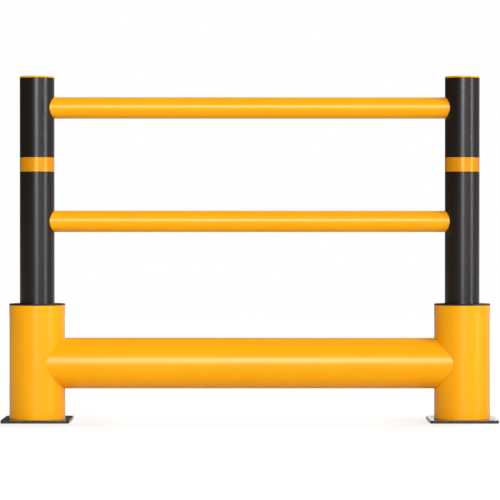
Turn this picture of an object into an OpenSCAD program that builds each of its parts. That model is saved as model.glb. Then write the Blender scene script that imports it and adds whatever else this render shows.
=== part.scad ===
// Modular handrail: one whole bay of a floor-mounted polymer barrier.
// Two posts stand on steel base plates. A thick bottom rail enters a sleeve round
// the foot of each post, and two handrails enter the posts above it.
// Millimetres. X runs along the bay, Y across it and Z up. The origin is on the
// floor, midway between the two posts.

/* [Bay] */
// Distance between the axes of the two posts
bay_length = 1500; // [900:10:2400]

/* [Base plate] */
// Side of the square steel plate
plate_side = 240; // [200:5:320]
// Thickness of the plate
plate_thick = 10; // [6:1:20]
// Radius of the plate's upright corners
plate_corner_radius = 12; // [2:1:20]
// Distance from an anchor hole's centre to the two nearest edges
anchor_edge_distance = 25; // [20:1:30]
// Diameter of an anchor hole
anchor_hole_diameter = 18; // [10:1:24]

/* [Anchor spigot] */
// Height of the steel tube that stands on the plate inside the post
spigot_height = 300; // [100:10:450]
// Wall of the spigot
spigot_wall = 5; // [3:0.5:10]

/* [Post] */
// Outside diameter of the post tube
post_diameter = 122; // [100:1:150]
// Wall of the post tube
post_wall = 6; // [4:0.5:8]
// Length of the post tube
post_length = 1200; // [900:10:1600]

/* [Cap] */
// Thickness of the cap's rim above the post
cap_thickness = 6; // [4:0.5:15]
// Radius of the rim's upper edge
cap_edge_radius = 2; // [0.5:0.5:4]
// Depth of the plug inside the post
cap_plug_depth = 30; // [10:1:45]
// Wall of the plug
cap_plug_wall = 4; // [2:0.5:8]

/* [Band] */
// Height of the coloured band round the post
band_height = 50; // [20:1:120]
// Thickness of the band
band_thick = 0.9; // [0.5:0.1:2]

/* [Sleeve] */
// Length of the sleeve round the foot of the post
sleeve_length = 400; // [320:5:500]
// Wall of the sleeve
sleeve_wall = 6; // [4:0.5:10]

/* [Collar] */
// Thickness of the collar's flange on top of the sleeve
collar_thick = 5; // [3:0.5:12]
// Depth of the collar's lip inside the sleeve
collar_lip_depth = 15; // [5:1:30]
// Wall of the lip
collar_lip_wall = 4; // [2:0.5:8]
// Radius of the flange's upper outer edge
collar_edge_radius = 1.5; // [0.5:0.5:2.5]

/* [Bottom rail] */
// Outside diameter of the bottom rail
bottom_rail_diameter = 180; // [140:1:200]
// Wall of the bottom rail
bottom_rail_wall = 8; // [4:0.5:15]
// Height of the bottom rail's axis above the floor
bottom_rail_height = 205; // [130:5:220]

/* [Handrails] */
// Outside diameter of a handrail
handrail_diameter = 75; // [40:1:80]
// Wall of a handrail
handrail_wall = 5; // [3:0.5:10]
// Drop from the post's top end to the top handrail's axis
top_handrail_drop = 105; // [95:5:200]
// Distance between the axes of the two handrails
handrail_pitch = 400; // [150:10:480]

/* [Fits] */
// Room round a rail where it passes through a wall
rail_clearance = 0.8; // [0.3:0.1:0.9]
// Room between the bottom rail's sides and the sleeve's inside
sleeve_side_room = 2.5; // [1:0.5:5]
// Room between the bottom rail's notched end and the post
notch_clearance = 0.8; // [0.3:0.1:2]
// Room between a handrail's end and the far wall inside the post
handrail_end_room = 5; // [1:0.5:10]
// Room round a plug, lip or spigot in its tube, and round the post in its collar
seat_clearance = 0.3; // [0.1:0.1:0.6]
// Room round the band in its recess
band_clearance = 0.1; // [0.1:0.1:0.3]

/* [Hidden] */
$fn = 96;

left = -1;
right = 1;
// How far a cutting shape runs past the face that it cuts
overcut = 1;

post_radius = post_diameter / 2;
post_bore_radius = post_radius - post_wall;
post_top = plate_thick + post_length;

sleeve_bore_radius = bottom_rail_diameter / 2 + sleeve_side_room;
sleeve_radius = sleeve_bore_radius + sleeve_wall;
sleeve_top = plate_thick + sleeve_length;

handrail_radius = handrail_diameter / 2;
top_handrail_height = post_top - top_handrail_drop;
middle_handrail_height = top_handrail_height - handrail_pitch;
// A handrail runs past the post's axis until its rim nearly meets the far wall.
handrail_overrun = sqrt(pow(post_bore_radius, 2) - pow(handrail_radius, 2)) - handrail_end_room;
handrail_length = bay_length + 2 * handrail_overrun;

// The band sits halfway between the two handrails, flush with the post.
band_centre_height = (top_handrail_height + middle_handrail_height) / 2;
recess_depth = band_thick + band_clearance;
recess_height = band_height + 2 * band_clearance;

anchor_offset = plate_side / 2 - anchor_edge_distance;

plastic_yellow = [0.98, 0.62, 0.05];
plastic_black = [0.14, 0.13, 0.12];
collar_black = [0.10, 0.10, 0.10];
band_yellow = [0.96, 0.70, 0.15];
steel_grey = [0.36, 0.36, 0.37];
spigot_grey = [0.62, 0.63, 0.64];

// Moves a shape to the axis of the left or the right post.
module at_post(side) {
    translate([side * bay_length / 2, 0, 0]) children();
}

// An upright tube.
module tube(outer_radius, bore_radius, length) {
    difference() {
        cylinder(r = outer_radius, h = length);
        translate([0, 0, -overcut]) cylinder(r = bore_radius, h = length + 2 * overcut);
    }
}

// A cylinder along X, centred on the middle of the bay.
module bar_along_bay(radius, length) {
    rotate([0, 90, 0]) cylinder(r = radius, h = length, center = true);
}

// A cylinder from a post's axis towards the middle of the bay.
module inward_bore(side, radius, length) {
    rotate([0, -side * 90, 0]) cylinder(r = radius, h = length);
}

// A flat ring whose upper outer edge is rounded.
module rounded_ring(outer_radius, bore_radius, thickness, edge_radius) {
    rotate_extrude() {
        translate([bore_radius, 0]) square([outer_radius - bore_radius, thickness - edge_radius]);
        translate([bore_radius, 0]) square([outer_radius - bore_radius - edge_radius, thickness]);
        translate([outer_radius - edge_radius, thickness - edge_radius]) circle(r = edge_radius);
    }
}

// The outline of the plate: a square with rounded corners.
module plate_outline() {
    straight = plate_side - 2 * plate_corner_radius;
    square([plate_side, straight], center = true);
    square([straight, plate_side], center = true);
    for (x = [-1, 1], y = [-1, 1])
        translate([x * straight / 2, y * straight / 2]) circle(r = plate_corner_radius);
}

module base_plate(side) {
    color(steel_grey) at_post(side) difference() {
        linear_extrude(height = plate_thick) plate_outline();
        for (x = [-1, 1], y = [-1, 1])
            translate([x * anchor_offset, y * anchor_offset, -overcut])
                cylinder(d = anchor_hole_diameter, h = plate_thick + 2 * overcut);
    }
}

module anchor_spigot(side) {
    spigot_radius = post_bore_radius - seat_clearance;
    color(spigot_grey) at_post(side) translate([0, 0, plate_thick])
        tube(spigot_radius, spigot_radius - spigot_wall, spigot_height);
}

module post(side) {
    color(plastic_black) at_post(side) difference() {
        translate([0, 0, plate_thick]) tube(post_radius, post_bore_radius, post_length);
        for (height = [middle_handrail_height, top_handrail_height])
            translate([0, 0, height])
                inward_bore(side, handrail_radius + rail_clearance, post_radius + overcut);
        translate([0, 0, band_centre_height - recess_height / 2])
            tube(post_radius + overcut, post_radius - recess_depth, recess_height);
    }
}

module post_cap(side) {
    plug_radius = post_bore_radius - seat_clearance;
    color(plastic_yellow) at_post(side) translate([0, 0, post_top]) {
        rounded_ring(post_radius, 0, cap_thickness, cap_edge_radius);
        translate([0, 0, -cap_plug_depth])
            tube(plug_radius, plug_radius - cap_plug_wall, cap_plug_depth + cap_thickness / 2);
    }
}

module post_band(side) {
    color(band_yellow) at_post(side) translate([0, 0, band_centre_height - band_height / 2])
        tube(post_radius, post_radius - band_thick, band_height);
}

module sleeve(side) {
    color(plastic_yellow) at_post(side) difference() {
        translate([0, 0, plate_thick]) tube(sleeve_radius, sleeve_bore_radius, sleeve_length);
        translate([0, 0, bottom_rail_height])
            inward_bore(side, bottom_rail_diameter / 2 + rail_clearance, sleeve_radius + overcut);
    }
}

module sleeve_collar(side) {
    collar_bore_radius = post_radius + seat_clearance;
    lip_radius = sleeve_bore_radius - seat_clearance;
    color(collar_black) at_post(side) translate([0, 0, sleeve_top]) {
        rounded_ring(sleeve_radius, collar_bore_radius, collar_thick, collar_edge_radius);
        translate([0, 0, -collar_lip_depth])
            tube(lip_radius, lip_radius - collar_lip_wall, collar_lip_depth + collar_thick / 2);
    }
}

module bottom_rail() {
    rail_radius = bottom_rail_diameter / 2;
    color(plastic_yellow) difference() {
        translate([0, 0, bottom_rail_height]) difference() {
            bar_along_bay(rail_radius, bay_length);
            bar_along_bay(rail_radius - bottom_rail_wall, bay_length + 2 * overcut);
        }
        for (side = [left, right])
            at_post(side) cylinder(r = post_radius + notch_clearance, h = sleeve_top);
    }
}

module handrail(height) {
    color(plastic_yellow) translate([0, 0, height]) difference() {
        bar_along_bay(handrail_radius, handrail_length);
        bar_along_bay(handrail_radius - handrail_wall, handrail_length + 2 * overcut);
    }
}

base_plate(left);  // base_plate_left
base_plate(right);  // base_plate_right
anchor_spigot(left);  // anchor_spigot_left
anchor_spigot(right);  // anchor_spigot_right
post(left);  // post_left
post(right);  // post_right
post_cap(left);  // post_cap_left
post_cap(right);  // post_cap_right
post_band(left);  // post_band_left
post_band(right);  // post_band_right
sleeve(left);  // sleeve_left
sleeve(right);  // sleeve_right
sleeve_collar(left);  // sleeve_collar_left
sleeve_collar(right);  // sleeve_collar_right
bottom_rail();
handrail(middle_handrail_height);  // middle_handrail
handrail(top_handrail_height);  // top_handrail
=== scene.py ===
"""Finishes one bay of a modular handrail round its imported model: pieces, finishes, light and camera."""
import math

import bmesh
import bpy
from bpy.props import FloatProperty, FloatVectorProperty, IntProperty, PointerProperty
from bpy.types import Operator, Panel, PropertyGroup
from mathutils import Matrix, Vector


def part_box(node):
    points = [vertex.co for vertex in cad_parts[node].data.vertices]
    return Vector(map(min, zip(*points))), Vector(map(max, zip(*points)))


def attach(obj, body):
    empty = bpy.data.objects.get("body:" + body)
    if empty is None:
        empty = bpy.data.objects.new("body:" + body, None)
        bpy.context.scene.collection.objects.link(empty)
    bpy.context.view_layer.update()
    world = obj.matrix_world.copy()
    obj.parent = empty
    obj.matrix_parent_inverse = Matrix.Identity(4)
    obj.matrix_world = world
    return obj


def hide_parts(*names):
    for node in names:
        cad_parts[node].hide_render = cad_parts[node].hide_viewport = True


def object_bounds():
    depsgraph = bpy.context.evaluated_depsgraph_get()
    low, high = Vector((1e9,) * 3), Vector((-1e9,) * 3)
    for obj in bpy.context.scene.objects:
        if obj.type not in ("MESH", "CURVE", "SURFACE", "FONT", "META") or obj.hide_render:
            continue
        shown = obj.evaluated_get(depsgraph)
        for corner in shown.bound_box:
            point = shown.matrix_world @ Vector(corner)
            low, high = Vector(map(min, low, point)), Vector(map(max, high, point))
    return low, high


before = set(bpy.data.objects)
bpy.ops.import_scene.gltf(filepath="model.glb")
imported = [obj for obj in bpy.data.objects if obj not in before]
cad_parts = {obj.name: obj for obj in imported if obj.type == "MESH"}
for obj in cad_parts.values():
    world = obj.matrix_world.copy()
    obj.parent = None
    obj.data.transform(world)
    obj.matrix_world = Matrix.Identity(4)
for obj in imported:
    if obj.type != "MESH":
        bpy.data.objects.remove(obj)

bl_info = {
    "name": "Modular handrail",
    "version": (1, 0, 0),
    "blender": (4, 5, 0),
    "location": "View3D > Sidebar > Handrail",
    "description": "Makes the finished pieces of a modular handrail bay and a studio to show it in",
    "category": "Object",
}

CAD_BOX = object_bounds()
SIDES = {"left": -1, "right": 1}    # which way along X each end lies
WELD_DISTANCE = 1e-6                # metres


# ---------------------------------------------------------------------------
# What a user may change
# ---------------------------------------------------------------------------

def length(name, description, default):
    """A property that holds a length in metres."""
    return FloatProperty(name=name, description=description, default=default, min=0.0, unit="LENGTH")


def colour(name, description, default):
    """A property that holds a linear colour."""
    return FloatVectorProperty(
        name=name, description=description, default=default, subtype="COLOR", size=3, min=0.0, max=1.0)


def brightness(name, lamp, default):
    """A property that holds how bright a lamp makes a white surface that faces it."""
    description = f"Brightness that the {lamp} gives a white surface"
    return FloatProperty(name=name, description=description, default=default, min=0.0)


class HandrailSizes(PropertyGroup):
    """Walls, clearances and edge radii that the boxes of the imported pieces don't tell."""

    post_wall: length("Post wall", "Wall of the post tubes", 0.006)
    sleeve_wall: length("Sleeve wall", "Wall of the sleeves", 0.006)
    bottom_rail_wall: length("Bottom rail wall", "Wall of the bottom rail", 0.008)
    handrail_wall: length("Handrail wall", "Wall of the handrails", 0.005)
    rail_clearance: length("Rail clearance", "Room round a rail where it passes a wall", 0.0008)
    notch_clearance: length("Notch clearance", "Room between the bottom rail's end and the post", 0.0015)
    band_thickness: length("Band thickness", "Thickness of the coloured bands", 0.0009)
    band_clearance: length("Band clearance", "Room round a band in its recess", 0.0001)
    tube_edge: length("Tube edge", "Radius on the ends of posts, sleeves and rails", 0.0012)
    hole_edge: length("Hole edge", "Radius round the holes that the rails pass", 0.0010)
    seat_clearance: length("Seat clearance", "Room round a plug, a lip and a collar's bore", 0.0003)
    plug_wall: length("Plug wall", "Wall of a cap's plug and a collar's lip", 0.004)
    plug_edge: length("Plug edge", "Radius on a plug's and a lip's edges", 0.0005)
    cap_edge: length("Cap edge", "Radius on a cap's rim", 0.002)
    collar_edge: length("Collar edge", "Radius on a collar's rim", 0.0015)
    recess_edge: length("Recess edge", "Radius on the lips of the band's recess", 0.0003)
    band_edge: length("Band edge", "Radius on the band's edges", 0.0002)
    plate_edge: length("Plate edge", "Radius on the plate's edges and hole mouths", 0.0008)
    plate_corner: length("Plate corner", "Radius of the plate's upright corners", 0.012)
    anchor_edge_distance: length(
        "Anchor edge distance", "From an anchor hole's centre to the plate's edges", 0.025)
    anchor_hole: length("Anchor hole", "Diameter of an anchor hole", 0.018)
    slim_steps: IntProperty(
        name="Steps round slim tubes", default=96, min=24,
        description="Faces round the handrails, the posts and the anchor holes")
    stout_steps: IntProperty(
        name="Steps round stout tubes", default=160, min=24,
        description="Faces round the bottom rail, the sleeves, the collars, the bands and the caps")
    edge_steps: IntProperty(
        name="Steps round an edge", description="Faces across a rounded edge", default=4, min=2, max=8)


class HandrailColours(PropertyGroup):
    """Colours of the finishes."""

    yellow: colour("Yellow", "Rails, sleeves and caps", (0.98, 0.395, 0.002))
    black: colour("Black", "Post tubes", (0.011, 0.0068, 0.0034))
    collar: colour("Collar", "Rings on top of the sleeves", (0.010, 0.009, 0.008))
    band: colour("Band", "Bands round the posts", (0.74, 0.27, 0.002))
    plate: colour("Plate", "Coated base plates", (0.014, 0.014, 0.0155))
    steel: colour("Steel", "Bare tube inside each post", (0.45, 0.45, 0.46))


class HandrailStudio(PropertyGroup):
    """Camera, lamps and floor."""

    camera_distance: length("Camera distance", "From the camera to the plane of the posts", 8.84)
    camera_height: length("Camera height", "Height of the camera above the floor", 0.693)
    camera_offset: length("Camera offset", "From the middle of the bay to the camera, rightward", 0.001)
    aim_height: length("Aim height", "Height that the camera aims at", 0.604)
    lens: FloatProperty(
        name="Lens", description="Focal length for a sensor 36 mm wide", default=180.3, unit="CAMERA")
    key_level: brightness("Key level", "key lamp", 0.60)
    front_level: brightness("Front level", "front strip", 0.17)
    middle_level: brightness("Middle level", "middle strip", 0.06)
    side_level: brightness("Side level", "side strip", 0.31)
    fill_level: brightness("Fill level", "broad side lamp", 0.14)
    back_level: brightness("Back level", "back lamp", 0.42)
    lamp_distance: length("Lamp distance", "From the lamps to the object", 100.0)
    floor_size: length("Floor size", "Side of the square floor", 20.0)


# ---------------------------------------------------------------------------
# Shader graphs
# ---------------------------------------------------------------------------

class Value:
    """A shader socket that takes part in Python sums: each sum adds a Math node."""

    def __init__(self, graph, socket):
        self.graph = graph
        self.socket = socket

    def _math(self, operation, *operands):
        return self.graph.value("ShaderNodeMath", {"operation": operation}, dict(enumerate(operands)))

    def __add__(self, other):
        return self._math("ADD", self, other)

    __radd__ = __add__

    def __sub__(self, other):
        return self._math("SUBTRACT", self, other)

    def __rsub__(self, other):
        return self._math("SUBTRACT", other, self)

    def __mul__(self, other):
        return self._math("MULTIPLY", self, other)

    __rmul__ = __mul__

    def __pow__(self, other):
        return self._math("POWER", self, other)

    def maximum(self, other):
        return self._math("MAXIMUM", self, other)

    def absolute(self):
        return self._math("ABSOLUTE", self)

    def swing(self, spread):
        """A pattern from 0 to 1, moved to lie round 0 and scaled to that spread from end to end."""
        return (self - 0.5) * spread


class Graph:
    """Adds and links the nodes of one material or world."""

    def __init__(self, tree):
        self.tree = tree
        tree.nodes.clear()

    def node(self, kind, settings=None, inputs=None):
        """A node of that type, with its settings made first and its sockets then filled or linked."""
        node = self.tree.nodes.new(kind)
        for name, setting in (settings or {}).items():
            setattr(node, name, setting)
        for name, source in (inputs or {}).items():
            self.feed(node.inputs[name], source)
        return node

    def value(self, kind, settings=None, inputs=None, output=0):
        """One output of a new node, ready for sums."""
        return Value(self, self.node(kind, settings, inputs).outputs[output])

    def feed(self, socket, source):
        """Links a socket to a source, or sets it to a number, a vector or a colour."""
        source = getattr(source, "socket", source)
        if isinstance(source, bpy.types.NodeSocket):
            self.tree.links.new(source, socket)
        elif hasattr(source, "__len__") and socket.type == "RGBA" and len(source) == 3:
            socket.default_value = (*source, 1.0)
        else:
            socket.default_value = source

    def object_place(self):
        """Where a point lies in its object's own frame, in metres."""
        return self.value("ShaderNodeTexCoord", output="Object")

    def axes(self, vector):
        """The X, Y and Z of a vector, each ready for sums."""
        parts = self.node("ShaderNodeSeparateXYZ", inputs={0: vector})
        return [Value(self, part) for part in parts.outputs]

    def rays(self):
        """Three values, each 1 on a ray of its kind: a camera's, a glossy one and one through glass."""
        path = self.node("ShaderNodeLightPath")
        kinds = ("Is Camera Ray", "Is Glossy Ray", "Is Transmission Ray")
        return [Value(self, path.outputs[kind]) for kind in kinds]

    def step(self, source, low, high):
        """0 below low, 1 above high and a smooth rise between them."""
        settings = {"interpolation_type": "SMOOTHSTEP", "clamp": True}
        inputs = {"Value": source, "From Min": low, "From Max": high}
        return self.value("ShaderNodeMapRange", settings, inputs)

    def noise(self, place, scale, detail=3.0, roughness=0.55):
        """A cloudy pattern from 0 to 1, with that many lumps to a metre."""
        inputs = {"Vector": place, "Scale": scale, "Detail": detail, "Roughness": roughness}
        return self.value("ShaderNodeTexNoise", inputs=inputs, output="Fac")

    def stretched(self, place, along, share):
        """The same place with one axis shrunk to a share, which draws a pattern out along that axis."""
        factors = [share if axis == along else 1.0 for axis in "xyz"]
        return self.value("ShaderNodeVectorMath", {"operation": "MULTIPLY"}, {0: place, 1: factors})

    def bump(self, height, distance, strength=1.0):
        """The normal of a skin whose height pattern, from 0 to 1, stands for that distance in metres."""
        inputs = {"Strength": strength, "Distance": distance, "Height": height}
        return self.value("ShaderNodeBump", inputs=inputs)

    def tinted(self, factor, first, second):
        """A colour that goes from the first to the second as factor goes from 0 to 1."""
        settings = {"data_type": "RGBA", "clamp_factor": True}
        mixer = self.node("ShaderNodeMix", settings)
        colour_sockets = [s for s in mixer.inputs if s.type == "RGBA"]
        self.feed(mixer.inputs["Factor"], factor)
        self.feed(colour_sockets[0], first)
        self.feed(colour_sockets[1], second)
        return next(s for s in mixer.outputs if s.type == "RGBA")


def paled(base):
    """A colour part of the way to a pale grey, as a dry scuff shows it."""
    kept, added_grey = 0.55, 0.12
    return tuple(kept * channel + added_grey for channel in base)


def shade(base, factor):
    """A colour made lighter or darker by a factor, within the gamut."""
    return tuple(min(1.0, channel * factor) for channel in base)


def surface(name, build):
    """A material whose graph is made by build, or the one already made under that name."""
    known = bpy.data.materials.get(name)
    if known:
        return known
    material = bpy.data.materials.new(name)
    material.use_nodes = True
    graph = Graph(material.node_tree)
    graph.node("ShaderNodeOutputMaterial", inputs={"Surface": build(graph).outputs[0]})
    return material


def extruded_plastic(name, base, along, roughness, specular, specular_tint, mottle, relief):
    """Extruded polymer: draw lines along the tube, an uneven skin, soft clouds of colour and a few scuffs.

    Mottle is how far the clouds lighten and darken the colour, and relief is the skin's depth in metres.
    """

    def build(graph):
        place = graph.object_place()
        tube_place = graph.stretched(place, along, 0.02)
        broad_lines = graph.noise(tube_place, scale=110.0, detail=2.0)
        fine_lines = graph.noise(tube_place, scale=520.0, detail=2.0)
        skin = graph.noise(place, scale=260.0, detail=2.0)
        clouds = graph.noise(place, scale=6.0, detail=5.0, roughness=0.6)
        scuff_place = graph.stretched(place, along, 0.12)
        scuff_field = graph.noise(scuff_place, scale=95.0, detail=4.0, roughness=0.7)
        scuffs = graph.step(scuff_field, low=0.66, high=0.74) * graph.step(clouds, low=0.45, high=0.6)
        blend = graph.step(clouds * 0.6 + broad_lines * 0.25 + fine_lines * 0.15, low=0.32, high=0.68)
        clean = graph.tinted(blend, shade(base, 1 - mottle), shade(base, 1 + mottle))
        height = broad_lines * 0.30 + fine_lines * 0.25 + skin * 0.45
        return graph.node("ShaderNodeBsdfPrincipled", inputs={
            "Base Color": graph.tinted(scuffs * 0.2, clean, paled(base)),
            "Roughness": roughness + clouds.swing(0.06) + broad_lines.swing(0.06) + scuffs * 0.15,
            "Specular IOR Level": specular,
            "Specular Tint": specular_tint,
            "Normal": graph.bump(height, distance=relief),
        })

    return surface(name, build)


def moulded_ring(name, base):
    """Matt black moulding with a fine pebbled skin."""

    def build(graph):
        place = graph.object_place()
        pebbles = graph.value(
            "ShaderNodeTexVoronoi", inputs={"Vector": place, "Scale": 700.0}, output="Distance")
        clouds = graph.noise(place, scale=25.0)
        return graph.node("ShaderNodeBsdfPrincipled", inputs={
            "Base Color": graph.tinted(clouds, shade(base, 0.75), shade(base, 1.4)),
            "Roughness": 0.52 + clouds.swing(0.15),
            "Specular IOR Level": 0.35,
            "Normal": graph.bump(pebbles, distance=0.0003, strength=0.8),
        })

    return surface(name, build)


def glossy_film(name, base):
    """Smooth coloured film, laid on by hand: long soft ripples and a fine grain."""

    def build(graph):
        place = graph.object_place()
        ripple = graph.noise(graph.stretched(place, "z", 0.4), scale=55.0, detail=2.0)
        grain = graph.noise(place, scale=900.0, detail=1.0)
        return graph.node("ShaderNodeBsdfPrincipled", inputs={
            "Base Color": graph.tinted(ripple * 0.7 + grain * 0.3, shade(base, 0.95), shade(base, 1.05)),
            "Roughness": 0.28 + ripple.swing(0.08),
            "Specular IOR Level": 0.8,
            "Specular Tint": (1.0, 0.95, 0.3),
            "Normal": graph.bump(ripple * 0.8 + grain * 0.05, distance=0.00009),
        })

    return surface(name, build)


def coated_steel(name, base, plate_place, half_width):
    """Dark coated plate: an orange-peel skin, dull patches, and the coat rubbed thin along its outline.

    The plates stand mirrored at both ends of the bay. Plate_place is how far their middles are from
    the bay's own, and half_width is half a plate's side.
    """
    rubbed_width = 0.004
    rubbed_colour = (0.11, 0.105, 0.10)

    def build(graph):
        place = graph.object_place()
        x, y, _ = graph.axes(place)
        off_middle = (x.absolute() - plate_place).absolute().maximum(y.absolute())
        peel = graph.noise(place, scale=420.0, detail=2.0)
        patch_field = graph.noise(place, scale=18.0, detail=5.0, roughness=0.65)
        patches = graph.step(patch_field, low=0.45, high=0.75)
        chip_field = graph.noise(place, scale=160.0, detail=4.0, roughness=0.7)
        chips = graph.step(chip_field, low=0.45, high=0.62)
        rubbed = graph.step(off_middle, low=half_width - rubbed_width, high=half_width) * chips
        dulled = graph.tinted(patches, base, shade(base, 1.7))
        return graph.node("ShaderNodeBsdfPrincipled", inputs={
            "Base Color": graph.tinted(rubbed * 0.35, dulled, rubbed_colour),
            "Roughness": 0.34 + patches * 0.14 + rubbed * 0.15,
            "Specular IOR Level": 0.2,
            "Coat Weight": 1.0 - rubbed * 0.6,
            "Coat Roughness": 0.08,
            "Coat IOR": 1.42,
            "Normal": graph.bump(peel, distance=0.00018),
        })

    return surface(name, build)


def bare_steel(name, base):
    """Plain drawn tube, with fine lines along it."""

    def build(graph):
        lines = graph.noise(graph.stretched(graph.object_place(), "z", 0.03), scale=600.0, detail=2.0)
        return graph.node("ShaderNodeBsdfPrincipled", inputs={
            "Base Color": graph.tinted(lines, shade(base, 0.85), shade(base, 1.1)),
            "Metallic": 1.0,
            "Roughness": 0.35 + lines.swing(0.1),
            "Normal": graph.bump(lines, distance=0.0002, strength=0.1),
        })

    return surface(name, build)


# ---------------------------------------------------------------------------
# Meshes
# ---------------------------------------------------------------------------

class Extent:
    """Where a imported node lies, read from its box."""

    def __init__(self, node):
        self.low, self.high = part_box(node)
        self.centre = (self.low + self.high) / 2
        self.size = self.high - self.low

    def radius_across(self, axis):
        """Radius of a round node whose axis runs along x or z.

        A packed circle may have flats, so the wider of its two sides is the true one.
        """
        across = {"x": (self.size.y, self.size.z), "z": (self.size.x, self.size.y)}[axis]
        return max(across) / 2


class Shell:
    """Collects patches of quads and welds them into one closed mesh."""

    def __init__(self):
        self.points = []
        self.faces = []

    def patch(self, rows, skip=lambda row, column: False):
        """Quads between neighbouring rows of points, each of which joins its end to its start."""
        first = len(self.points)
        width = len(rows[0])
        for row in rows:
            self.points.extend(row)
        for j in range(len(rows) - 1):
            for i in range(width):
                if skip(j, i):
                    continue
                near = first + j * width + i
                far = first + j * width + (i + 1) % width
                self.faces.append((near, far, far + width, near + width))

    def piece(self, name):
        """The welded mesh as a smooth object in the scene."""
        mesh = bpy.data.meshes.new(name)
        mesh.from_pydata(self.points, [], self.faces)
        return welded_piece(name, mesh)


def welded_piece(name, mesh):
    """An object made of that mesh, with welded seams, faces turned outward and smooth shading."""
    work = bmesh.new()
    work.from_mesh(mesh)
    bmesh.ops.remove_doubles(work, verts=work.verts, dist=WELD_DISTANCE)
    bmesh.ops.recalc_face_normals(work, faces=work.faces)
    work.to_mesh(mesh)
    work.free()
    mesh.shade_smooth()
    piece = bpy.data.objects.new(name, mesh)
    bpy.context.scene.collection.objects.link(piece)
    weighted = piece.modifiers.new("Even shading", "WEIGHTED_NORMAL")
    weighted.keep_sharp = True
    return piece


def rounded(corners, steps):
    """A closed outline from right-angled corners, each given as (across, along, radius of its edge)."""
    outline = []
    for i, (across, along, edge) in enumerate(corners):
        corner = Vector((across, along))
        back = (Vector(corners[i - 1][:2]) - corner).normalized()
        ahead = (Vector(corners[(i + 1) % len(corners)][:2]) - corner).normalized()
        if edge == 0:
            outline.append(corner)
            continue
        for k in range(steps + 1):
            turn = k / steps * math.pi / 2
            reach = (back + ahead) - (ahead * math.cos(turn) + back * math.sin(turn))
            outline.append(corner + reach * edge)
    return outline


class PostAxis:
    """The upright axis of one end's pieces, read from its band. Angle 0 points at the bay's middle."""

    def __init__(self, side):
        self.inward = -SIDES[side]
        self.centre_x = Extent(f"post_band_{side}").centre.x

    def point(self, radius, angle, height):
        """A point at that radius, angle and height."""
        return (self.centre_x + self.inward * radius * math.cos(angle), radius * math.sin(angle), height)


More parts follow.
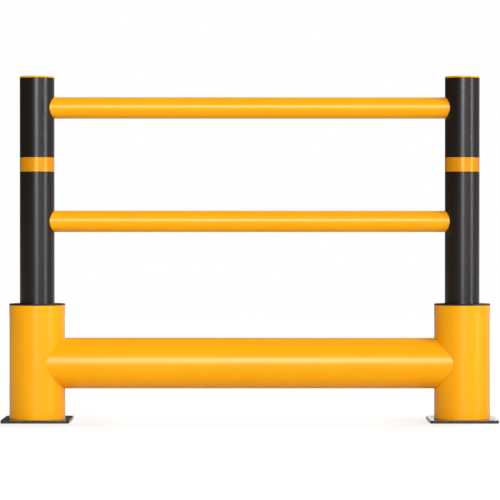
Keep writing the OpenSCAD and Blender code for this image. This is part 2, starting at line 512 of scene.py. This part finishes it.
class PiercedTube:
    """An upright tube whose wall rails pass through on its inward side.

    The wall is a grid of faces. Round each hole a window in the grid is filled by rings that go from
    the window's square outline to the hole's rim, round the rim's edge, through the wall and back out.
    """

    RING_COUNT = 6
    RING_CROWDING = 1.5     # above 1, the rings lie closer together toward the rim
    WINDOW_HEIGHT = 1.12    # as a share of the rim's height
    WINDOW_REACH = 0.45     # share of the way from the rim's side to the tube's own side

    def __init__(self, axis, outer, bore, hole_radius, hole_heights, hole_edge, steps, edge_steps):
        self.axis = axis
        self.outer = outer
        self.bore = bore
        self.hole_radius = hole_radius
        self.hole_heights = hole_heights
        self.hole_edge = hole_edge
        self.steps = steps - steps % 8      # a window's corners are an eighth of a turn from its middle
        self.edge_steps = edge_steps
        rim = hole_radius + hole_edge
        self.half_height = rim * self.WINDOW_HEIGHT
        widest = math.asin(rim / bore)
        self.half_angle = widest + (math.pi / 2 - widest) * self.WINDOW_REACH

    def window_ticks(self):
        """Places from -1 to 1 across a window, so spaced that lines to its middle make equal angles."""
        eighth = self.steps // 8
        return [math.tan(k * 2 * math.pi / self.steps) for k in range(-eighth, eighth + 1)]

    def grid_angles(self):
        """Angles of the grid's upright lines: across the windows, then round the rest of the tube."""
        across = [self.half_angle * tick for tick in self.window_ticks()]
        rest = 2 * math.pi - 2 * self.half_angle
        count = math.ceil(rest / (2 * math.pi) * self.steps)
        return across + [self.half_angle + rest * k / count for k in range(1, count)]

    def with_window_rows(self, profile):
        """The profile with a point at each line of the windows, on the outside and in the bore."""
        rows = []
        for i, point in enumerate(profile):
            rows.append(point)
            after = profile[(i + 1) % len(profile)]
            if abs(point.x - after.x) > WELD_DISTANCE or not self.is_wall(point.x):
                continue
            lines = [h + self.half_height * t for h in self.hole_heights for t in self.window_ticks()]
            between = [z for z in lines if min(point.y, after.y) < z < max(point.y, after.y)]
            rows += [Vector((point.x, z)) for z in sorted(between, reverse=after.y < point.y)]
        return rows

    def is_wall(self, radius):
        """Is that radius the tube's outside or its bore?"""
        return min(abs(radius - self.outer), abs(radius - self.bore)) < WELD_DISTANCE

    def in_window(self, low, high):
        """Do both ends of this stretch of the profile lie within one window?"""
        if not (self.is_wall(low.x) and self.is_wall(high.x)):
            return False
        room = self.half_height + WELD_DISTANCE
        return any(abs(low.y - h) < room and abs(high.y - h) < room for h in self.hole_heights)

    def rim_ring(self, wall_radius, hole_radius, height):
        """(angle, height) of points where a cylinder of the hole's axis meets one of the tube's."""
        ring = []
        for k in range(self.steps):
            turn = 2 * math.pi * k / self.steps
            angle = math.asin(hole_radius * math.sin(turn) / wall_radius)
            ring.append((angle, height + hole_radius * math.cos(turn)))
        return ring

    def window_ring(self, height):
        """(angle, height) of points along the window's outline, one for each point of a rim."""
        ring = []
        for k in range(self.steps):
            turn = 2 * math.pi * k / self.steps
            across, up = math.sin(turn), math.cos(turn)
            largest = max(abs(across), abs(up))
            ring.append((self.half_angle * across / largest, height + self.half_height * up / largest))
        return ring

    def face_rings(self, wall_radius, height):
        """Rings on one face of the wall, from the window's outline in to the rim."""
        rim = self.rim_ring(wall_radius, self.hole_radius + self.hole_edge, height)
        outline = self.window_ring(height)
        rings = []
        for k in range(self.RING_COUNT + 1):
            share = (1 - k / self.RING_COUNT) ** self.RING_CROWDING
            ring = [(a + (b - a) * share, y + (z - y) * share) for (a, y), (b, z) in zip(rim, outline)]
            rings.append([self.axis.point(wall_radius, angle, z) for angle, z in ring])
        return rings

    def edge_rings(self, face_radius, inward, height):
        """Rings round the rim's rounded edge, from the face of the wall into the hole."""
        rings = []
        for k in range(1, self.edge_steps + 1):
            turn = k / self.edge_steps * math.pi / 2
            hole = self.hole_radius + self.hole_edge * (1 - math.sin(turn))
            wall = face_radius + inward * self.hole_edge * (1 - math.cos(turn))
            rim = self.rim_ring(wall, hole, height)
            rings.append([self.axis.point(wall, angle, z) for angle, z in rim])
        return rings

    def add_to(self, shell, profile):
        """Adds the tube's grid and its holes to a shell."""
        rows = self.with_window_rows(profile)
        rows.append(rows[0])
        angles = self.grid_angles()
        window_columns = len(self.window_ticks()) - 1

        def skip(j, i):
            return i < window_columns and self.in_window(rows[j], rows[j + 1])

        shell.patch([[self.axis.point(p.x, angle, p.y) for angle in angles] for p in rows], skip=skip)
        for height in self.hole_heights:
            outside = self.face_rings(self.outer, height) + self.edge_rings(self.outer, -1, height)
            inside = self.face_rings(self.bore, height) + self.edge_rings(self.bore, 1, height)
            shell.patch(outside + inside[::-1])


def turned(shell, axis, profile, steps, ring=True):
    """Adds the profile turned round an upright axis.

    That makes a ring, or else a solid, whose profile has both ends on the axis.
    """
    angles = [2 * math.pi * k / steps for k in range(steps)]
    rows = [*profile, profile[0]] if ring else profile
    shell.patch([[axis.point(p.x, angle, p.y) for angle in angles] for p in rows])


def rail_tube(name, extent, wall, edge, notch_radius, steps, edge_steps):
    """A tube along X. Each end may be notched half round, to straddle a post on the end's plane."""
    outer = extent.radius_across("x")
    bore = outer - wall
    corners = [(extent.low.x, outer, edge), (extent.high.x, outer, edge),
               (extent.high.x, bore, edge), (extent.low.x, bore, edge)]

    def ring(point):
        end = 1 if point.x < extent.centre.x else -1
        points = []
        for k in range(steps):
            turn = 2 * math.pi * k / steps
            y, z = point.y * math.sin(turn), point.y * math.cos(turn)
            cut = math.sqrt(max(0.0, notch_radius ** 2 - y ** 2))
            points.append((point.x + end * cut, extent.centre.y + y, extent.centre.z + z))
        return points

    profile = rounded(corners, edge_steps)
    shell = Shell()
    shell.patch([ring(point) for point in [*profile, profile[0]]])
    return shell.piece(name)


def add_loop(curve, points):
    """Adds a closed run of straight stretches to a flat curve."""
    spline = curve.splines.new("POLY")
    spline.points.add(len(points) - 1)
    for place, (x, y) in zip(spline.points, points):
        place.co = (x, y, 0.0, 1.0)
    spline.use_cyclic_u = True


def finish_piece(piece, material, slot, *nodes):
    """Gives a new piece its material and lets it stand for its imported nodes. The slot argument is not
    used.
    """
    piece.data.materials.clear()
    piece.data.materials.append(material)
    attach(piece, "root")
    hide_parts(*nodes)


def finish_node(node, material):
    """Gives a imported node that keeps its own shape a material."""
    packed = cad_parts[node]
    packed.data.materials.clear()
    packed.data.materials.append(material)


# ---------------------------------------------------------------------------
# Operators, one for each kind of piece
# ---------------------------------------------------------------------------

class PieceOperator:
    """What the operators share: their settings and the finishes that more than one of them uses."""

    bl_options = {"REGISTER", "UNDO"}

    @staticmethod
    def settings():
        """The sizes and the colours that the user has set."""
        scene = bpy.context.scene
        return scene.handrail_sizes, scene.handrail_colours

    @staticmethod
    def yellow_plastic(along):
        """The finish of rails, sleeves and caps, with its draw lines along x or z."""
        colours = bpy.context.scene.handrail_colours
        return extruded_plastic(
            f"extruded_yellow_{along}", tuple(colours.yellow), along, roughness=0.30, specular=0.3,
            specular_tint=(1.0, 1.0, 0.70), mottle=0.03, relief=0.00015)


class HANDRAIL_OT_base_plates(PieceOperator, Operator):
    """Make the square steel plates under the posts, with their anchor holes"""

    bl_idname = "handrail.base_plates"
    bl_label = "Base plates"

    def execute(self, context):
        sizes, colours = self.settings()
        right_plate = Extent("base_plate_right")
        material = coated_steel(
            "coated_plate", tuple(colours.plate), right_plate.centre.x, right_plate.size.x / 2)
        for side in SIDES:
            node = f"base_plate_{side}"
            plate = self.plate(node + "_coated", Extent(node), sizes)
            finish_piece(plate, material, "plate_steel", node)
        return {"FINISHED"}

    @staticmethod
    def plate(name, extent, sizes):
        """A flat curve filled, thickened and rounded along all of its edges."""
        edge = sizes.plate_edge
        curve = bpy.data.curves.new(name + "_outline", "CURVE")
        curve.dimensions = "2D"
        curve.fill_mode = "BOTH"
        curve.extrude = extent.size.z / 2 - edge
        curve.bevel_depth = edge
        curve.bevel_resolution = sizes.edge_steps - 1
        corner = sizes.plate_corner - edge
        straight = extent.size.x / 2 - sizes.plate_corner
        steps = sizes.slim_steps
        outline = []
        for quarter in range(4):
            middle = math.pi / 4 + quarter * math.pi / 2
            cx = straight * math.copysign(1, math.cos(middle))
            cy = straight * math.copysign(1, math.sin(middle))
            for k in range(steps // 4 + 1):
                turn = quarter * math.pi / 2 + k * 2 * math.pi / steps
                outline.append((cx + corner * math.cos(turn), cy + corner * math.sin(turn)))
        add_loop(curve, outline)
        offset = extent.size.x / 2 - sizes.anchor_edge_distance
        hole = sizes.anchor_hole / 2 + edge
        backward = [-2 * math.pi * k / steps for k in range(steps)]
        circle = [(hole * math.cos(turn), hole * math.sin(turn)) for turn in backward]
        for x in (-offset, offset):
            for y in (-offset, offset):
                add_loop(curve, [(x + across, y + along) for across, along in circle])
        maker = bpy.data.objects.new(name + "_maker", curve)
        bpy.context.scene.collection.objects.link(maker)
        evaluated = maker.evaluated_get(bpy.context.evaluated_depsgraph_get())
        mesh = bpy.data.meshes.new_from_object(evaluated)
        bpy.data.objects.remove(maker)
        bpy.data.curves.remove(curve)
        for vertex in mesh.vertices:
            vertex.co += extent.centre
        return welded_piece(name, mesh)


class HANDRAIL_OT_anchor_spigots(PieceOperator, Operator):
    """Finish the steel tubes hidden inside the posts"""

    bl_idname = "handrail.anchor_spigots"
    bl_label = "Anchor spigots"

    def execute(self, context):
        _, colours = self.settings()
        material = bare_steel("drawn_steel", tuple(colours.steel))
        for side in SIDES:
            finish_node(f"anchor_spigot_{side}", material)
        return {"FINISHED"}


class HANDRAIL_OT_posts(PieceOperator, Operator):
    """Make the black post tubes, with a hole for each handrail and a recess for the band"""

    bl_idname = "handrail.posts"
    bl_label = "Posts"

    def execute(self, context):
        sizes, colours = self.settings()
        material = extruded_plastic(
            "extruded_black", tuple(colours.black), "z", roughness=0.30, specular=0.48,
            specular_tint=(0.93, 0.96, 1.0), mottle=0.12, relief=0.00006)
        handrails = [Extent("middle_handrail"), Extent("top_handrail")]
        hole_radius = handrails[0].radius_across("x") + sizes.rail_clearance
        for side in SIDES:
            node = f"post_{side}"
            post, band = Extent(node), Extent(f"post_band_{side}")
            outer = post.radius_across("z")
            bore = outer - sizes.post_wall
            recess = outer - sizes.band_thickness - sizes.band_clearance
            profile = rounded([
                (outer, post.low.z, sizes.tube_edge),
                (outer, band.low.z - sizes.band_clearance, sizes.recess_edge),
                (recess, band.low.z - sizes.band_clearance, 0),
                (recess, band.high.z + sizes.band_clearance, 0),
                (outer, band.high.z + sizes.band_clearance, sizes.recess_edge),
                (outer, post.high.z, sizes.tube_edge),
                (bore, post.high.z, sizes.tube_edge),
                (bore, post.low.z, sizes.tube_edge),
            ], sizes.edge_steps)
            tube = PiercedTube(
                PostAxis(side), outer, bore, hole_radius, [rail.centre.z for rail in handrails],
                sizes.hole_edge, sizes.slim_steps, sizes.edge_steps)
            shell = Shell()
            tube.add_to(shell, profile)
            finish_piece(shell.piece(f"post_tube_{side}"), material, "black_plastic", node)
        return {"FINISHED"}


class HANDRAIL_OT_post_caps(PieceOperator, Operator):
    """Make the yellow caps, each with a plug that fits the post's bore"""

    bl_idname = "handrail.post_caps"
    bl_label = "Post caps"

    def execute(self, context):
        sizes, _ = self.settings()
        for side in SIDES:
            node = f"post_cap_{side}"
            cap, post = Extent(node), Extent(f"post_{side}")
            outer = cap.radius_across("z")
            plug = post.radius_across("z") - sizes.post_wall - sizes.seat_clearance
            hollow = plug - sizes.plug_wall
            seat = post.high.z
            profile = rounded([
                (0, cap.high.z, 0), (outer, cap.high.z, sizes.cap_edge), (outer, seat, sizes.plug_edge),
                (plug, seat, 0), (plug, cap.low.z, sizes.plug_edge), (hollow, cap.low.z, sizes.plug_edge),
                (hollow, seat, sizes.plug_edge), (0, seat, 0),
            ], sizes.edge_steps)
            shell = Shell()
            turned(shell, PostAxis(side), profile, sizes.stout_steps, ring=False)
            piece = shell.piece(f"post_cap_moulding_{side}")
            finish_piece(piece, self.yellow_plastic("z"), "yellow_plastic", node)
        return {"FINISHED"}


class HANDRAIL_OT_post_bands(PieceOperator, Operator):
    """Make the plain yellow bands that lie flush in the posts"""

    bl_idname = "handrail.post_bands"
    bl_label = "Post bands"

    def execute(self, context):
        sizes, colours = self.settings()
        material = glossy_film("glossy_band", tuple(colours.band))
        for side in SIDES:
            node = f"post_band_{side}"
            band = Extent(node)
            outer = Extent(f"post_{side}").radius_across("z")
            inner = outer - sizes.band_thickness
            profile = rounded([
                (outer, band.low.z, sizes.band_edge), (outer, band.high.z, sizes.band_edge),
                (inner, band.high.z, sizes.band_edge), (inner, band.low.z, sizes.band_edge),
            ], sizes.edge_steps)
            shell = Shell()
            turned(shell, PostAxis(side), profile, sizes.stout_steps)
            finish_piece(shell.piece(f"post_band_film_{side}"), material, "band_film", node)
        return {"FINISHED"}


class HANDRAIL_OT_sleeves(PieceOperator, Operator):
    """Make the yellow sleeves round the posts' feet, with a hole for the bottom rail"""

    bl_idname = "handrail.sleeves"
    bl_label = "Sleeves"

    def execute(self, context):
        sizes, _ = self.settings()
        rail = Extent("bottom_rail")
        hole_radius = rail.radius_across("x") + sizes.rail_clearance
        for side in SIDES:
            node = f"sleeve_{side}"
            sleeve = Extent(node)
            outer = sleeve.radius_across("z")
            bore = outer - sizes.sleeve_wall
            profile = rounded([
                (outer, sleeve.low.z, sizes.tube_edge), (outer, sleeve.high.z, sizes.tube_edge),
                (bore, sleeve.high.z, sizes.tube_edge), (bore, sleeve.low.z, sizes.tube_edge),
            ], sizes.edge_steps)
            tube = PiercedTube(
                PostAxis(side), outer, bore, hole_radius, [rail.centre.z],
                sizes.hole_edge, sizes.stout_steps, sizes.edge_steps)
            shell = Shell()
            tube.add_to(shell, profile)
            piece = shell.piece(f"sleeve_tube_{side}")
            finish_piece(piece, self.yellow_plastic("z"), "yellow_plastic", node)
        return {"FINISHED"}


class HANDRAIL_OT_sleeve_collars(PieceOperator, Operator):
    """Make the black rings that close the sleeves, each with a lip that fits the sleeve's bore"""

    bl_idname = "handrail.sleeve_collars"
    bl_label = "Sleeve collars"

    def execute(self, context):
        sizes, colours = self.settings()
        material = moulded_ring("moulded_collar", tuple(colours.collar))
        for side in SIDES:
            node = f"sleeve_collar_{side}"
            collar, sleeve = Extent(node), Extent(f"sleeve_{side}")
            outer = collar.radius_across("z")
            bore = Extent(f"post_{side}").radius_across("z") + sizes.seat_clearance
            lip = sleeve.radius_across("z") - sizes.sleeve_wall - sizes.seat_clearance
            lip_bore = lip - sizes.plug_wall
            seat = sleeve.high.z
            profile = rounded([
                (outer, collar.high.z, sizes.collar_edge), (outer, seat, sizes.plug_edge), (lip, seat, 0),
                (lip, collar.low.z, sizes.plug_edge), (lip_bore, collar.low.z, sizes.plug_edge),
                (lip_bore, seat, sizes.plug_edge), (bore, seat, sizes.plug_edge),
                (bore, collar.high.z, sizes.plug_edge),
            ], sizes.edge_steps)
            shell = Shell()
            turned(shell, PostAxis(side), profile, sizes.stout_steps)
            finish_piece(shell.piece(f"sleeve_collar_moulding_{side}"), material, "collar_plastic", node)
        return {"FINISHED"}


class HANDRAIL_OT_bottom_rail(PieceOperator, Operator):
    """Make the thick bottom rail, whose ends straddle the posts inside the sleeves"""

    bl_idname = "handrail.bottom_rail"
    bl_label = "Bottom rail"

    def execute(self, context):
        sizes, _ = self.settings()
        notch = Extent("post_left").radius_across("z") + sizes.notch_clearance
        rail = rail_tube(
            "bottom_rail_tube", Extent("bottom_rail"), sizes.bottom_rail_wall, sizes.tube_edge, notch,
            sizes.stout_steps, sizes.edge_steps)
        finish_piece(rail, self.yellow_plastic("x"), "yellow_plastic", "bottom_rail")
        return {"FINISHED"}


class HANDRAIL_OT_handrails(PieceOperator, Operator):
    """Make the two slimmer rails that enter the posts"""

    bl_idname = "handrail.handrails"
    bl_label = "Handrails"

    def execute(self, context):
        sizes, _ = self.settings()
        for node in ("middle_handrail", "top_handrail"):
            rail = rail_tube(
                node + "_tube", Extent(node), sizes.handrail_wall, sizes.tube_edge, notch_radius=0.0,
                steps=sizes.slim_steps, edge_steps=sizes.edge_steps)
            finish_piece(rail, self.yellow_plastic("x"), "yellow_plastic", node)
        return {"FINISHED"}


WHITE = (1.0, 1.0, 1.0)
FLOOR_GREY = 0.60       # how much light the matt floor sends back
FLOOR_GLOW = 1.36       # strength of the white that is mixed into the floor
FLOOR_DROP = 0.0005     # keeps the floor clear of the plates' undersides, in metres


class HANDRAIL_OT_studio(Operator):
    """Set up the floor, the room, the lamps and the camera"""

    bl_idname = "handrail.studio"
    bl_label = "Studio"
    bl_options = {"REGISTER", "UNDO"}

    LAMPS = (
        # name, the property of its level, azimuth, elevation, width and height in degrees, and tint
        ("key_lamp", "key_level", 0.5, 15.5, 11.0, 16.0, (0.90, 0.93, 1.0)),
        ("front_strip", "front_level", 0.5, 2.0, 9.0, 30.0, (0.90, 0.93, 1.0)),
        ("middle_strip", "middle_level", 28.0, 5.0, 8.0, 30.0, (1.0, 0.98, 1.0)),
        ("side_strip", "side_level", 62.0, 10.0, 5.0, 30.0, (1.0, 0.95, 0.98)),
        ("fill_lamp", "fill_level", 73.0, 35.0, 28.0, 28.0, (1.0, 0.98, 0.95)),
        ("back_lamp", "back_level", 150.0, 38.0, 16.0, 16.0, (0.97, 0.98, 1.0)),
    )

    def execute(self, context):
        studio = context.scene.handrail_studio
        self.camera(studio)
        self.room()
        self.floor(studio)
        for name, level, *angles, tint in self.LAMPS:
            self.lamp(name, studio.lamp_distance, map(math.radians, angles), getattr(studio, level), tint)
        context.scene.view_settings.view_transform = "Standard"
        return {"FINISHED"}

    @staticmethod
    def camera(studio):
        """A long lens, square on to the bay at about the height of the middle handrail."""
        data = bpy.data.cameras.new("camera")
        data.lens = studio.lens
        camera = bpy.data.objects.new("camera", data)
        bpy.context.scene.collection.objects.link(camera)
        camera.location = (studio.camera_offset, -studio.camera_distance, studio.camera_height)
        drop = math.atan2(studio.camera_height - studio.aim_height, studio.camera_distance)
        camera.rotation_euler = (math.pi / 2 - drop, 0.0, 0.0)
        bpy.context.scene.camera = camera

    @staticmethod
    def room():
        """A plain room, dark on the left and pale on the right, behind a white background."""
        world = bpy.data.worlds.new("room")
        bpy.context.scene.world = world
        world.use_nodes = True
        graph = Graph(world.node_tree)
        right, back, up = graph.axes(graph.value("ShaderNodeTexCoord", output="Generated"))
        camera_ray, glossy_ray, glass_ray = graph.rays()
        level = 0.04 + 0.35 * graph.step(right, low=-0.2, high=0.7) + 0.08 * up.maximum(0.0)
        # The back wall and the ceiling light matt surfaces only, so that they leave no glare.
        level = level + (0.25 * back.maximum(0.0) + 0.2 * up.maximum(0.0)) * (1 - glossy_ray)
        behind = graph.step(back, low=0.8, high=0.98) * graph.step(right, low=-0.03, high=0.04)
        white = camera_ray.maximum(glass_ray).maximum(glossy_ray * behind)
        strength = level + (1 - level) * white
        background = graph.node("ShaderNodeBackground", inputs={"Color": WHITE, "Strength": strength})
        graph.node("ShaderNodeOutputWorld", inputs={"Surface": background.outputs[0]})

    @staticmethod
    def floor(studio):
        """A pale floor that looks white to the camera and keeps the object's shadow."""
        foot_place = Extent("base_plate_right").centre.x
        half = studio.floor_size / 2
        corners = [(-half, -half, 0), (half, -half, 0), (half, half, 0), (-half, half, 0)]
        mesh = bpy.data.meshes.new("floor")
        mesh.from_pydata(corners, [], [(0, 1, 2, 3)])
        floor = bpy.data.objects.new("floor", mesh)
        bpy.context.scene.collection.objects.link(floor)
        floor.location.z = -FLOOR_DROP

        def build(graph):
            matt = graph.node("ShaderNodeBsdfDiffuse", inputs={"Color": (FLOOR_GREY,) * 3})
            glow = graph.node("ShaderNodeEmission", inputs={"Color": WHITE, "Strength": FLOOR_GLOW})
            x, y, _ = graph.axes(graph.object_place())

            def distance(along):
                """How far a point is from one that lies that far off along the bay."""
                return (along * along + y * y) ** 0.5

            beyond_foot = x.absolute() - foot_place
            from_foot = distance(beyond_foot)
            from_bay = distance(beyond_foot.maximum(0.0))
            from_middle = distance(x)
            camera_ray, glossy_ray, glass_ray = graph.rays()
            # The glow grows away from the feet and the bay, so that the shadow shows there and fades.
            near_share = (
                0.52 + 0.08 * graph.step(from_foot, low=0.14, high=0.40)
                + 0.12 * graph.step(from_bay, low=0.2, high=0.8)
                + 0.28 * graph.step(from_middle, low=1.2, high=4.0))
            far_glow = graph.step(from_middle, low=4.0, high=9.0) * graph.step(x, low=-2.0, high=2.0)
            share = (camera_ray.maximum(glass_ray) * near_share).maximum(glossy_ray * far_glow)
            shaders = {0: share, 1: matt.outputs[0], 2: glow.outputs[0]}
            return graph.node("ShaderNodeMixShader", inputs=shaders)

        mesh.materials.append(surface("pale_floor", build))

    @staticmethod
    def lamp(name, distance, angles, level, tint):
        """A soft rectangular lamp aimed at the middle of the object. Azimuth 0 is the camera's side."""
        azimuth, elevation, width, height = angles
        middle = (CAD_BOX[0] + CAD_BOX[1]) / 2
        away = Vector((
            math.sin(azimuth) * math.cos(elevation),
            -math.cos(azimuth) * math.cos(elevation),
            math.sin(elevation)))
        data = bpy.data.lights.new(name, "AREA")
        data.shape = "RECTANGLE"
        data.size = 2 * distance * math.tan(width / 2)
        data.size_y = 2 * distance * math.tan(height / 2)
        data.color = tint
        # A lamp of this power gives a white surface that faces it about that level of brightness.
        data.energy = level * math.pi ** 2 * distance ** 2
        lamp = bpy.data.objects.new(name, data)
        bpy.context.scene.collection.objects.link(lamp)
        lamp.location = middle + away * distance
        lamp.rotation_euler = away.to_track_quat("Z", "Y").to_euler()
        lamp.visible_camera = False


class HANDRAIL_PT_panel(Panel):
    """Lists the operators in the sidebar of the 3D view"""

    bl_idname = "HANDRAIL_PT_panel"
    bl_label = "Modular handrail"
    bl_space_type = "VIEW_3D"
    bl_region_type = "UI"
    bl_category = "Handrail"

    def draw(self, context):
        for operator in OPERATORS:
            self.layout.operator(operator.bl_idname)
        for group in GROUPS:
            settings = getattr(context.scene, group)
            for name in settings.__annotations__:
                self.layout.prop(settings, name)


OPERATORS = (
    HANDRAIL_OT_base_plates,
    HANDRAIL_OT_anchor_spigots,
    HANDRAIL_OT_posts,
    HANDRAIL_OT_post_caps,
    HANDRAIL_OT_post_bands,
    HANDRAIL_OT_sleeves,
    HANDRAIL_OT_sleeve_collars,
    HANDRAIL_OT_bottom_rail,
    HANDRAIL_OT_handrails,
    HANDRAIL_OT_studio,
)
GROUPS = {
    "handrail_sizes": HandrailSizes,
    "handrail_colours": HandrailColours,
    "handrail_studio": HandrailStudio,
}
CLASSES = (*GROUPS.values(), *OPERATORS, HANDRAIL_PT_panel)


def register():
    """Adds the classes and their settings to Blender."""
    for item in CLASSES:
        bpy.utils.register_class(item)
    for name, group in GROUPS.items():
        setattr(bpy.types.Scene, name, PointerProperty(type=group))


def unregister():
    """Takes the settings and the classes out again."""
    for name in GROUPS:
        delattr(bpy.types.Scene, name)
    for item in reversed(CLASSES):
        bpy.utils.unregister_class(item)


def main():
    """Makes every piece and the studio."""
    register()
    for operator in OPERATORS:
        category, name = operator.bl_idname.split(".")
        getattr(getattr(bpy.ops, category), name)()


if __name__ == "__main__":
    main()
